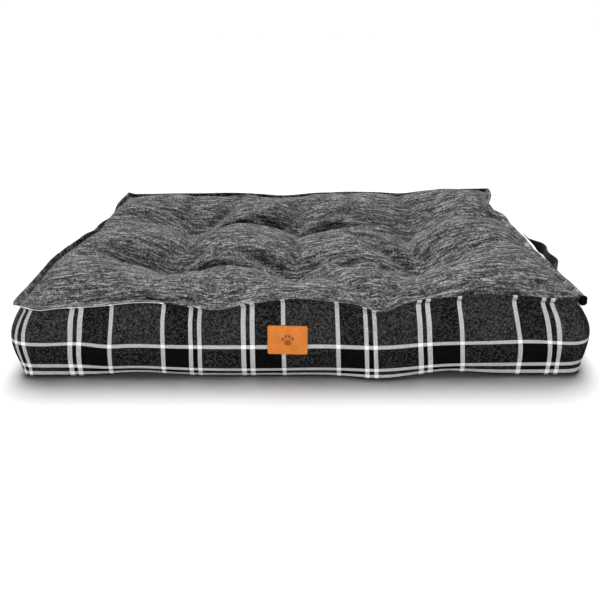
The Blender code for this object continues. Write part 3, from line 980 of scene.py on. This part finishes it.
def paw_depth(x, z):
    """How far into the paw mark a place of the patch is: above 0 inside, in metres."""
    depth = -1.0
    for cx, cz, rx, rz in PAW_PADS:
        reach = math.hypot((x - cx) / rx, (z - cz) / rz)
        depth = max(depth, (1 - reach) * min(rx, rz))
    return depth


def patch_thickness(x, z, edge):
    """How thick the patch is there, that far from its edge: rounded off, and pressed in places."""
    round_edge = math.sqrt(max(0.0, 1 - (1 - min(1.0, edge / PATCH_BEVEL)) ** 2))
    thick = PATCH_THICKNESS * (0.45 + 0.55 * round_edge)
    press = min(1.0, max(0.0, paw_depth(x, z) / PRESS_SLOPE + 0.5)) * PRESS_DEPTH
    line = abs(edge - PATCH_LINE) / PATCH_LINE_HALF
    press += PATCH_LINE_DEPTH * max(0.0, 1 - line * line)
    return thick - press


def patch_piece(tree, leather, pressed):
    """The leather patch: it follows the boxing stiffly, with round corners and a pressed mark."""
    low, high = [Vector(corner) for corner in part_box("label_patch")]
    centre = (low + high) / 2
    width, height = high.x - low.x, high.z - low.z
    columns, rows = PATCH_COLUMNS, PATCH_ROWS
    places = []
    depth = np.zeros((rows + 1, columns + 1))
    for j in range(rows + 1):
        for i in range(columns + 1):
            a, b = rounded_place(2 * i / columns - 1, 2 * j / rows - 1, width, height, PATCH_CORNER)
            x = a * math.cos(PATCH_TILT) - b * math.sin(PATCH_TILT)
            z = a * math.sin(PATCH_TILT) + b * math.cos(PATCH_TILT)
            start = Vector((centre.x + x, low.y - 0.1, centre.z + z))
            depth[j, i] = tree.ray_cast(start, Vector((0, 1, 0)))[0].y
            places.append((x, z))
    flat = blurred(depth, PATCH_ROUNDS)
    flat -= max(0.0, (flat - depth).max())
    back = len(places)
    vertices = []
    for index, (x, z) in enumerate(places):
        j, i = divmod(index, columns + 1)
        edge = min(i, columns - i, j, rows - j) * width / columns
        front = flat[j, i] - patch_thickness(x, z, edge)
        vertices.append((centre.x + x, front, centre.z + z))
    vertices += [(centre.x + x, flat.flat[i] - 0.0001, centre.z + z) for i, (x, z) in enumerate(places)]
    faces = []
    slots = []
    for j in range(rows):
        for i in range(columns):
            a = j * (columns + 1) + i
            c = a + columns + 1
            faces += [(a, a + 1, c + 1, c), (back + a, back + c, back + c + 1, back + a + 1)]
            slots += [1 if paw_depth(*places[a]) > 0 else 0, 0]
    rim = [j * (columns + 1) + i for i, j in grid_ring(columns, rows)]
    faces += [(b, a, back + a, back + b) for a, b in zip(rim, rim[1:] + rim[:1])]
    slots += [0] * len(rim)
    data = closed_mesh("leather_patch", vertices, faces, None, slots)
    return piece("leather_patch", data, leather, pressed, slot="tan_leather", stands_for=["label_patch"])


# ---------------------------------------------------------------- the handle


def arch(along):
    """How far the webbing stands out from its ends: less than the CAD's, as the boxing swells."""
    if abs(along) >= HANDLE_SPAN / 2:
        return 0.0
    near_middle = math.cos(math.pi * along / HANDLE_SPAN) ** 2
    return near_middle * (HANDLE_DIP + HANDLE_BOW * (1 - near_middle))


def webbing_line(tree):
    """The webbing's middle line and tilt: (y, x, slope across), flat on the cloth at its ends."""
    reach = HANDLE_SPAN / 2 + HANDLE_END
    alongs = [reach * (2 * i / WEBBING_STEPS - 1) for i in range(WEBBING_STEPS + 1)]
    sideways = Vector((-1, 0, 0))
    line = []
    slopes = []
    for along in alongs:
        # Between its ends the webbing is clear of the cloth, and starts from where it is sewn
        sewn = math.copysign(max(abs(along), HANDLE_SPAN / 2), along)
        hits = []
        for across in (-1, 1):
            z = HANDLE_Z + across * HANDLE_WIDTH / 2
            hits.append(tree.ray_cast(Vector((RIGHT + 0.1, HANDLE_Y + sewn, z)), sideways)[0].x)
        line.append(max(hits))
        slopes.append((hits[1] - hits[0]) / HANDLE_WIDTH)
    line = blurred_line(line, WEBBING_ROUNDS)
    slopes = blurred_line(slopes, WEBBING_ROUNDS)
    result = []
    for along, x, other, slope in zip(alongs, line, line[::-1], slopes):
        share = min(1.0, max(0.0, 1 - abs(along) / (HANDLE_SPAN / 2)))
        base = x + (other - x) * share / 2
        keep = 1 - min(1.0, 3 * share)
        result.append((HANDLE_Y + along, base + 0.0002 + arch(along), slope * keep))
    return result


def blurred_line(values, rounds):
    for _ in range(rounds):
        middle = [(a + 2 * b + c) / 4 for a, b, c in zip(values, values[1:], values[2:])]
        values = [values[0]] + middle + [values[-1]]
    return values


def webbing_piece(name, line, webbing, stands_for):
    """One length of webbing with rounded selvedges, along (y, x, slope) points."""
    around = [(0, *cut) for cut in WEBBING_SECTION] + [(1, *cut) for cut in WEBBING_SECTION[::-1]]
    rings = []
    for index, (y, x, slope) in enumerate(line):
        y0, x0, _ = line[max(index - 1, 0)]
        y1, x1, _ = line[min(index + 1, len(line) - 1)]
        normal = Vector((y1 - y0, x0 - x1, 0)).normalized()
        ring = []
        for face, share, thickness in around:
            across = share * HANDLE_WIDTH / 2
            lift = (HANDLE_THICKNESS - thickness) / 2 + face * thickness
            ring.append(Vector((x + slope * across, y, HANDLE_Z + across)) + normal * lift)
        rings.append(ring)

    def cloth(ring, k, _):
        return line[ring][0], around[k][1] * HANDLE_WIDTH / 2

    data = lofted_mesh(name, rings, cloth)
    return piece(name, data, webbing, body=None, slot="webbing", stands_for=stands_for)


def build_handle(tree, webbing, thread):
    """The handle: two half lengths that meet at its middle, and their box stitching."""
    line = webbing_line(tree)
    middle = len(line) // 2
    for name, sign, half in (("front", -1, line[: middle + 1]), ("back", 1, line[middle:])):
        nodes = [f"handle_end_{name}", "side_handle"]
        made = webbing_piece(f"handle_{name}_half", half, webbing, nodes)
        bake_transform(made)
    for name, sign in (("front", -1), ("back", 1)):
        tubes(f"handle_stitching_{name}", box_stitch(line, sign), THREAD_RADIUS, 5, thread,
              tapered=True, slot="black_twine")


def box_stitch(line, sign):
    """A square of stitches with a cross in it, on one sewn end of the webbing."""
    inner = HANDLE_SPAN / 2 + STITCH_MARGIN_ALONG
    outer = HANDLE_SPAN / 2 + HANDLE_END - STITCH_MARGIN_ALONG
    half = HANDLE_WIDTH / 2 - STITCH_MARGIN_ACROSS
    corners = [(inner, -half), (outer, -half), (outer, half), (inner, half), (inner, -half)]
    corners += [(outer, half), (outer, -half), (inner, half)]
    points = []
    for (a0, z0), (a1, z1) in zip(corners, corners[1:]):
        for i in range(12):
            along = a0 + (a1 - a0) * i / 12
            across = z0 + (z1 - z0) * i / 12
            y = HANDLE_Y + sign * along
            place = min(line, key=lambda entry: abs(entry[0] - y))
            x = place[1] + place[2] * across + HANDLE_THICKNESS
            points.append(Vector((x, y, HANDLE_Z + across)))
    return stitch_paths(points, [Vector((1, 0, 0))] * len(points), pitch=0.003, length=0.0022)


# ---------------------------------------------------------------- materials


class Nodes:
    """Short ways to wire the nodes of one new material."""

    def __init__(self, name, roughness=0.9, specular=0.5):
        self.material = bpy.data.materials.new(name)
        self.material.use_nodes = True
        self.tree = self.material.node_tree
        self.shader = self.tree.nodes["Principled BSDF"]
        self.shader.inputs["Roughness"].default_value = roughness
        self.shader.inputs["Specular IOR Level"].default_value = specular

    def add(self, kind, **settings):
        node = self.tree.nodes.new(kind)
        for name, value in settings.items():
            setattr(node, name, value)
        return node

    def feed(self, socket, value):
        """Links an output to a socket, or sets the socket to a plain value."""
        if isinstance(value, bpy.types.NodeSocket):
            self.tree.links.new(value, socket)
        else:
            socket.default_value = value

    def fabric(self):
        """The place on the flat cloth, in metres."""
        return self.add("ShaderNodeUVMap", uv_map="fabric").outputs["UV"]

    def place(self):
        """The place in the object's own frame, in metres."""
        return self.add("ShaderNodeTexCoord").outputs["Object"]

    def axes(self, vector, names="XY"):
        """The vector's parts along those axes."""
        node = self.add("ShaderNodeSeparateXYZ")
        self.feed(node.inputs[0], vector)
        return [node.outputs[name] for name in names]

    def scaled(self, vector, *sizes):
        """The vector, counted in cells of those sizes."""
        node = self.add("ShaderNodeVectorMath", operation="MULTIPLY")
        self.feed(node.inputs[0], vector)
        cells = [1 / size for size in sizes] + [0.0] * (3 - len(sizes))
        node.inputs[1].default_value = cells
        return node.outputs[0]

    def math(self, operation, a, b=0.0, c=0.0):
        node = self.add("ShaderNodeMath", operation=operation)
        for socket, value in zip(node.inputs, (a, b, c)):
            self.feed(socket, value)
        return node.outputs[0]

    def noise(self, vector, detail=2.0, roughness=0.5):
        node = self.add("ShaderNodeTexNoise")
        self.feed(node.inputs["Vector"], vector)
        node.inputs["Scale"].default_value = 1.0
        node.inputs["Detail"].default_value = detail
        node.inputs["Roughness"].default_value = roughness
        return node.outputs["Fac"]

    def cloud(self, size, detail, roughness=0.5):
        """Noise with the same size of cell every way, in the object's own frame."""
        return self.noise(self.scaled(self.place(), size, size, size), detail, roughness)

    def threads(self, along, across, length, pitch):
        """Uneven threads side by side: each varies over that length, unlike the threads beside it."""
        row = self.math("FLOOR", self.math("DIVIDE", across, pitch))
        node = self.add("ShaderNodeCombineXYZ")
        self.feed(node.inputs["X"], self.math("DIVIDE", along, length))
        self.feed(node.inputs["Y"], self.math("MULTIPLY", row, 7.7))
        return self.noise(node.outputs[0], 1.0)

    def cells(self, vector):
        node = self.add("ShaderNodeTexVoronoi")
        self.feed(node.inputs["Vector"], vector)
        node.inputs["Scale"].default_value = 1.0
        return node.outputs["Distance"]

    def wave(self, value, length):
        """A sine of a length, from 0 to 1."""
        sine = self.math("SINE", self.math("MULTIPLY", value, 2 * math.pi / length))
        return self.math("MULTIPLY_ADD", sine, 0.5, 0.5)

    def weave(self, a, b, pitch_a, pitch_b):
        """The raised crossings of two ways of thread."""
        return self.math("MULTIPLY", self.wave(a, pitch_a), self.wave(b, pitch_b))

    def ramp(self, value, stops, steps=False):
        """Colours along a value: (place, colour) stops, blended or in steps."""
        node = self.add("ShaderNodeValToRGB")
        self.feed(node.inputs[0], value)
        node.color_ramp.interpolation = "CONSTANT" if steps else "LINEAR"
        elements = node.color_ramp.elements
        while len(elements) < len(stops):
            elements.new(1.0)
        for element, (place, colour) in zip(elements, stops):
            element.position = place
            element.color = (*colour, 1.0)
        return node.outputs["Color"]

    def mix(self, share, a, b, blend="MIX"):
        node = self.add("ShaderNodeMix", data_type="RGBA", blend_type=blend)
        sockets = [s for s in node.inputs if s.enabled]
        for socket, value in zip(sockets, (share, a, b)):
            self.feed(socket, value)
        return [s for s in node.outputs if s.enabled][0]

    def finish(self, colour=None, height=None, depth=0.0003, strength=1.0):
        """Wires the colour and a bump of that depth, and gives the material."""
        if colour is not None:
            self.feed(self.shader.inputs["Base Color"], colour)
        if height is not None:
            bump_node = self.add("ShaderNodeBump")
            bump_node.inputs["Distance"].default_value = depth
            bump_node.inputs["Strength"].default_value = strength
            self.feed(bump_node.inputs["Height"], height)
            self.feed(self.shader.inputs["Normal"], bump_node.outputs["Normal"])
        return self.material


def grey(value, warmth=0.0):
    return value * (1 + warmth), value, value * (1 - warmth)


def melange_cloth():
    """Dark grey melange linen: pale slubs along the cloth's width on near-black yarns."""
    made = Nodes("melange_cloth", 0.92, 0.08)
    x, y = made.axes(made.fabric())
    fine = made.threads(x, y, *FINE_THREADS)
    slub = made.threads(x, y, *SLUBS)
    warp = made.threads(y, x, *FINE_THREADS)
    value = made.math("MULTIPLY_ADD", fine, 0.30, made.math("MULTIPLY", slub, 0.42))
    value = made.math("MULTIPLY_ADD", warp, 0.28, value)
    stops = [(0.40, grey(0.011)), (0.47, grey(0.053)), (0.53, grey(0.127)), (0.61, grey(0.36))]
    colour = made.ramp(value, stops)
    threads = made.weave(x, y, WEAVE, WEAVE)
    shade = made.math("MULTIPLY_ADD", threads, 0.5, 0.78)
    colour = made.mix(1.0, colour, made.ramp(shade, [(0, grey(0)), (1, grey(1))]), "MULTIPLY")
    height = made.math("MULTIPLY_ADD", slub, 1.2, threads)
    return made.finish(colour, height, 0.0005)


def sett_stops(black, charcoal, white):
    """The plaid's order of yarns over one repeat, as steps of a ramp: (place, colour)."""
    edge = STRIPE / 2 / SETT
    lines = []
    for centre, after in SETT_LINES:
        place = (centre + SETT_START) / SETT
        lines.append((place - edge, white))
        lines.append((place + edge, {"black": black, "charcoal": charcoal}[after]))
    return [(0.0, lines[-1][1])] + lines


def plaid_cloth():
    """Black and charcoal plaid with white lines, woven so that both ways of yarn show."""
    made = Nodes("plaid_cloth", 0.9, 0.06)
    u, v = made.axes(made.fabric())
    black, charcoal, white = grey(0.0050, 0.12), grey(0.072), grey(0.92)
    colours = []
    down = made.math("MULTIPLY", v, -1.0)
    for value, origin in ((u, PLAID_ORIGIN_U), (down, PLAID_ORIGIN_V)):
        phase = made.math("MULTIPLY_ADD", value, 1 / SETT, (SETT_START - origin) / SETT)
        phase = made.math("FRACT", phase)
        colours.append(made.ramp(phase, sett_stops(black, charcoal, white), steps=True))
    yarns = []
    for colour, along, across in ((colours[0], v, u), (colours[1], u, v)):
        heather = made.threads(along, across, *HEATHER)
        pale = made.math("GREATER_THAN", colour, 0.5)
        heather = made.math("MAXIMUM", heather, made.math("MULTIPLY", pale, FLECK_END))
        fleck = made.ramp(heather, [(0.38, grey(0.02)), (0.50, grey(0.24)), (FLECK_END, grey(1.0))])
        yarns.append(made.mix(1.0, colour, fleck, "MULTIPLY"))
    twill = made.wave(made.math("ADD", u, v), TWILL)
    over = made.math("GREATER_THAN", twill, 0.5)
    colour = made.mix(over, yarns[0], yarns[1])
    height = made.math("ADD", made.weave(u, v, WEAVE, WEAVE), made.math("MULTIPLY", twill, 0.5))
    return made.finish(colour, height, 0.0003)


def base_cloth():
    """Close black canvas under the bed, with a faint grid of ribs."""
    made = Nodes("base_cloth", 0.85, 0.2)
    cloth = made.fabric()
    u, v = made.axes(cloth)
    threads = made.weave(u, v, 0.0009, 0.0009)
    worn = made.noise(made.scaled(cloth, 0.04, 0.04), 4.0, 0.6)
    value = made.math("MULTIPLY_ADD", threads, 0.3, made.math("MULTIPLY", worn, 0.7))
    colour = made.ramp(value, [(0.2, grey(0.008)), (0.7, grey(0.03))])
    return made.finish(colour, threads, 0.0003)


def fibre():
    """White polyester filling, in soft tangled tufts."""
    made = Nodes("polyester_fibre", 0.95, 0.1)
    tangle = made.cloud(0.006, 5.0, 0.75)
    colour = made.ramp(tangle, [(0.3, grey(0.55)), (0.7, grey(0.85))])
    return made.finish(colour, tangle, 0.003)


def leather(pressed):
    """Tan leather with a fine grain; where it is pressed, it is darker and smoother."""
    made = Nodes("pressed_leather" if pressed else "tan_leather", 0.42 if pressed else 0.5, 0.2)
    grain = made.cells(made.scaled(made.place(), 0.0011, 0.0011, 0.0011))
    depth = 0.42 if pressed else 1.0
    light = (0.62 * depth, 0.190 * depth, 0.027 * depth)
    dark = (0.53 * depth, 0.152 * depth, 0.020 * depth)
    colour = made.ramp(made.cloud(0.012, 4.0, 0.6), [(0.35, dark), (0.65, light)])
    creases = made.ramp(grain, [(0.0, grey(0.86)), (0.25, grey(1.0))])
    colour = made.mix(1.0, colour, creases, "MULTIPLY")
    return made.finish(colour, grain, 0.00012, 0.6)


def webbing_cloth():
    """Black polypropylene webbing in a herringbone."""
    made = Nodes("webbing", 0.6, 0.2)
    u, v = made.axes(made.fabric())
    zigzag = made.math("PINGPONG", v, 0.0025)
    twill = made.wave(made.math("ADD", u, zigzag), 0.0014)
    threads = made.math("MULTIPLY_ADD", made.wave(v, 0.0011), 0.5, twill)
    colour = made.ramp(threads, [(0.2, grey(0.004)), (1.0, grey(0.035))])
    return made.finish(colour, threads, 0.0004)


def tape_cloth():
    """The zip's black woven tape."""
    made = Nodes("zip_tape_cloth", 0.8)
    x, z = made.axes(made.place(), "XZ")
    threads = made.weave(x, z, 0.0008, 0.0012)
    colour = made.ramp(threads, [(0.0, grey(0.004)), (0.8, grey(0.03))])
    return made.finish(colour, threads, 0.0002)


def nylon():
    """The zip coil's smooth black filament."""
    made = Nodes("zip_nylon", 0.35)
    shade = made.noise(made.scaled(made.place(), 0.01, 0.002, 0.002), 2.0)
    return made.finish(made.ramp(shade, [(0.3, grey(0.010)), (0.7, grey(0.025))]))


def metal():
    """Blackened zip metal, rubbed bright in places."""
    made = Nodes("zip_metal", 0.38)
    made.shader.inputs["Metallic"].default_value = 1.0
    colour = made.ramp(made.cloud(0.003, 5.0, 0.7), [(0.42, grey(0.10)), (0.7, grey(0.34))])
    grain = made.noise(made.scaled(made.place(), 0.0015, 0.0003, 0.0003), 3.0)
    return made.finish(colour, grain, 0.00006, 0.5)


def twine():
    """Waxed black thread, faintly banded by its twist."""
    made = Nodes("black_twine", 0.6)
    band = made.wave(made.math("ADD", *made.axes(made.place(), "XZ")), 0.0009)
    return made.finish(made.ramp(band, [(0.0, grey(0.006)), (1.0, grey(0.03))]), band, 0.0001)


def felt():
    """Dark pressed felt, in short crossed fibres."""
    made = Nodes("dark_felt", 0.98, 0.05)
    hair = made.cloud(0.0009, 6.0, 0.8)
    return made.finish(made.ramp(hair, [(0.35, grey(0.015)), (0.7, grey(0.07))]), hair, 0.0006)


def floor_paint():
    """Nearly white paint, a little uneven."""
    made = Nodes("studio_floor", 0.75)
    return made.finish(made.ramp(made.cloud(0.4, 2.0), [(0.3, grey(0.86)), (0.7, grey(0.88))]))


# ---------------------------------------------------------------- the stage


def build_stage():
    """A pale floor, soft studio light and the camera."""
    data = bpy.data.meshes.new("floor")
    signs = ((-1, -1), (1, -1), (1, 1), (-1, 1))
    corners = [(sx * FLOOR_REACH, sy * FLOOR_REACH, 0) for sx, sy in signs]
    data.from_pydata(corners, [], [(0, 1, 2, 3)])
    floor = piece("floor", data, floor_paint(), body=None)
    world = bpy.data.worlds.new("studio")
    bpy.context.scene.world = world
    world.use_nodes = True
    shade_sky(world.node_tree)
    key = add_light("overhead", "SUN", (-0.3, 1.25, 1.45), SUN_SPREAD, SUN_STRENGTH)
    front = add_light("front", "AREA", (0.1, -2.2, 1.8), 1.2, FRONT_POWER)
    glow = add_light("glow", "AREA", (0.0, -1.1, 0.60), 0.5, GLOW_POWER)
    below = add_light("floor_light", "SUN", (0.0, 0.8, 2.0), FLOOR_SPREAD, FLOOR_STRENGTH)
    shaded = [bpy.data.objects[name] for name in ("top_cloth", "flange_left", "flange_back")]
    link_light(front, "front_skips", [floor] + shaded, "EXCLUDE")
    link_light(key, "overhead_skips", [floor], "EXCLUDE")
    link_light(glow, "top_only", [bpy.data.objects["top_cloth"]], "INCLUDE")
    link_light(below, "floor_only", [floor], "INCLUDE")
    add_camera()


def add_light(name, kind, place, size, power):
    """A soft light, aimed at the bed: size is a square's side, or a sun's spread as an angle."""
    data = bpy.data.lights.new(name, kind)
    if kind == "SUN":
        data.angle = size
    else:
        data.size = size
    data.energy = power
    made = bpy.data.objects.new(name, data)
    made.location = place
    made.rotation_euler = (-Vector(place)).to_track_quat("-Z", "Y").to_euler()
    bpy.context.scene.collection.objects.link(made)
    return made


def link_light(light, name, objects, state):
    """Limits a light to those objects, or keeps it off them."""
    group = bpy.data.collections.new(name)
    for made in objects:
        group.objects.link(made)
    for entry in group.collection_objects:
        entry.light_linking.link_state = state
    light.light_linking.receiver_collection = group


def shade_sky(tree):
    """A studio's surroundings: white round the horizon, darker overhead."""
    height = tree.nodes.new("ShaderNodeSeparateXYZ")
    tree.links.new(tree.nodes.new("ShaderNodeTexCoord").outputs["Generated"], height.inputs[0])
    ramp = tree.nodes.new("ShaderNodeValToRGB")
    for element, place, value in zip(ramp.color_ramp.elements, SKY_FADE, (1.0, SKY_TOP)):
        element.position = place
        element.color = (*grey(value), 1.0)
    tree.links.new(height.outputs["Z"], ramp.inputs[0])
    tree.links.new(ramp.outputs[0], tree.nodes["Background"].inputs["Color"])
    tree.nodes["Background"].inputs["Strength"].default_value = SKY_STRENGTH


def add_camera():
    """Above the front edge, looking down at the bed and turned a little to its left."""
    data = bpy.data.cameras.new("camera")
    data.lens = LENS
    made = bpy.data.objects.new("camera", data)
    made.location = CAMERA_PLACE
    aim = Euler((math.pi / 2 - CAMERA_DOWN, 0.0, CAMERA_TURN)).to_matrix()
    made.rotation_euler = (aim @ Matrix.Rotation(CAMERA_ROLL, 3, "Z")).to_euler()
    bpy.context.scene.collection.objects.link(made)
    bpy.context.scene.camera = made
    bpy.context.scene.view_settings.view_transform = "Standard"


# ---------------------------------------------------------------- everything together


def restyle(node, material, bevel=0.0):
    """Gives a CAD node its finished material, and soft edges where it is metal."""
    made = bpy.data.objects[node]
    made.data.materials.clear()
    made.data.materials.append(material)
    if bevel:
        edges = made.modifiers.new("soft_edges", "BEVEL")
        edges.width = bevel
        edges.segments = 3
        edges.limit_method = "ANGLE"
        edges.harden_normals = False


def build_cover(cover, places, fine, melange, plaid, canvas):
    """The cover's six panels, its filling, and the flange on the top seam."""
    fill_piece(cover, places, fibre())
    top = panel_piece(fine, TOP, "top_cloth", melange, slot="melange_cloth", stands_for=["top_panel"])
    for side in SIDES:
        name = SIDE_NAMES[side]
        nodes = [f"gusset_{name}"]
        if side == BOX_BACK:
            nodes = ["gusset_back_upper", "gusset_back_lower"]
        boxing = panel_piece(fine, side, f"boxing_{name}", plaid, slot="plaid_cloth", stands_for=nodes)
        flange_piece(cover, places, side, (plaid, melange))
    corner_fold(cover, places, plaid)
    base = panel_piece(fine, BASE, "base_sheet", canvas, slot="base_cloth", stands_for=["bottom_panel"])


def build_ties(thread, pad):
    """Six ties with their knots on the top, and the felt washers under the base."""
    for number, ((x, y), washer) in enumerate(zip(TUFTS, WASHER_BOXES), start=1):
        paths = tie_paths(x, y, TUFT_HEIGHT + KNOT_RISE, washer)
        tubes(f"tie_{number}", paths, TWINE_RADIUS, 6, thread, slot="black_twine",
              stands_for=[f"tuft_tie_{number}"])
        restyle(f"tuft_washer_{number}", pad)


def build_zip():
    """Two coils of filament between the CAD's tapes, stops, slider and pull."""
    filament, steel, tape = nylon(), metal(), tape_cloth()
    for half, phase in (("upper", 0.0), ("lower", math.pi)):
        node = f"zip_coil_{half}"
        path = coil_path(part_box(node), COIL_PITCH, phase)
        tubes(f"coil_{half}", [path], COIL_WIRE, 5, filament, slot="zip_nylon", stands_for=[node])
        restyle(f"zip_tape_{half}", tape)
        restyle(f"zip_top_stop_{half}", steel, 0.0002)
    restyle("zip_bottom_stop", steel, 0.0002)
    restyle("zip_slider", steel, 0.0003)
    restyle("zip_pull", steel, 0.0002)


def main():
    cover = Cover()
    made, key = cloth_object(cover, pin_targets(cover))
    places = simulate(made, key)
    places = drawn_in(places, cover)
    fine = finished_cover(cover, places)
    tree = cloth_tree(fine)
    melange, plaid, thread = melange_cloth(), plaid_cloth(), twine()
    build_cover(cover, places, fine, melange, plaid, base_cloth())
    for side in SIDES:
        topstitching(cover, places, side, thread)
    patch_piece(tree, leather(False), leather(True))
    build_handle(tree, webbing_cloth(), thread)
    build_ties(thread, felt())
    build_zip()
    build_stage()


main()
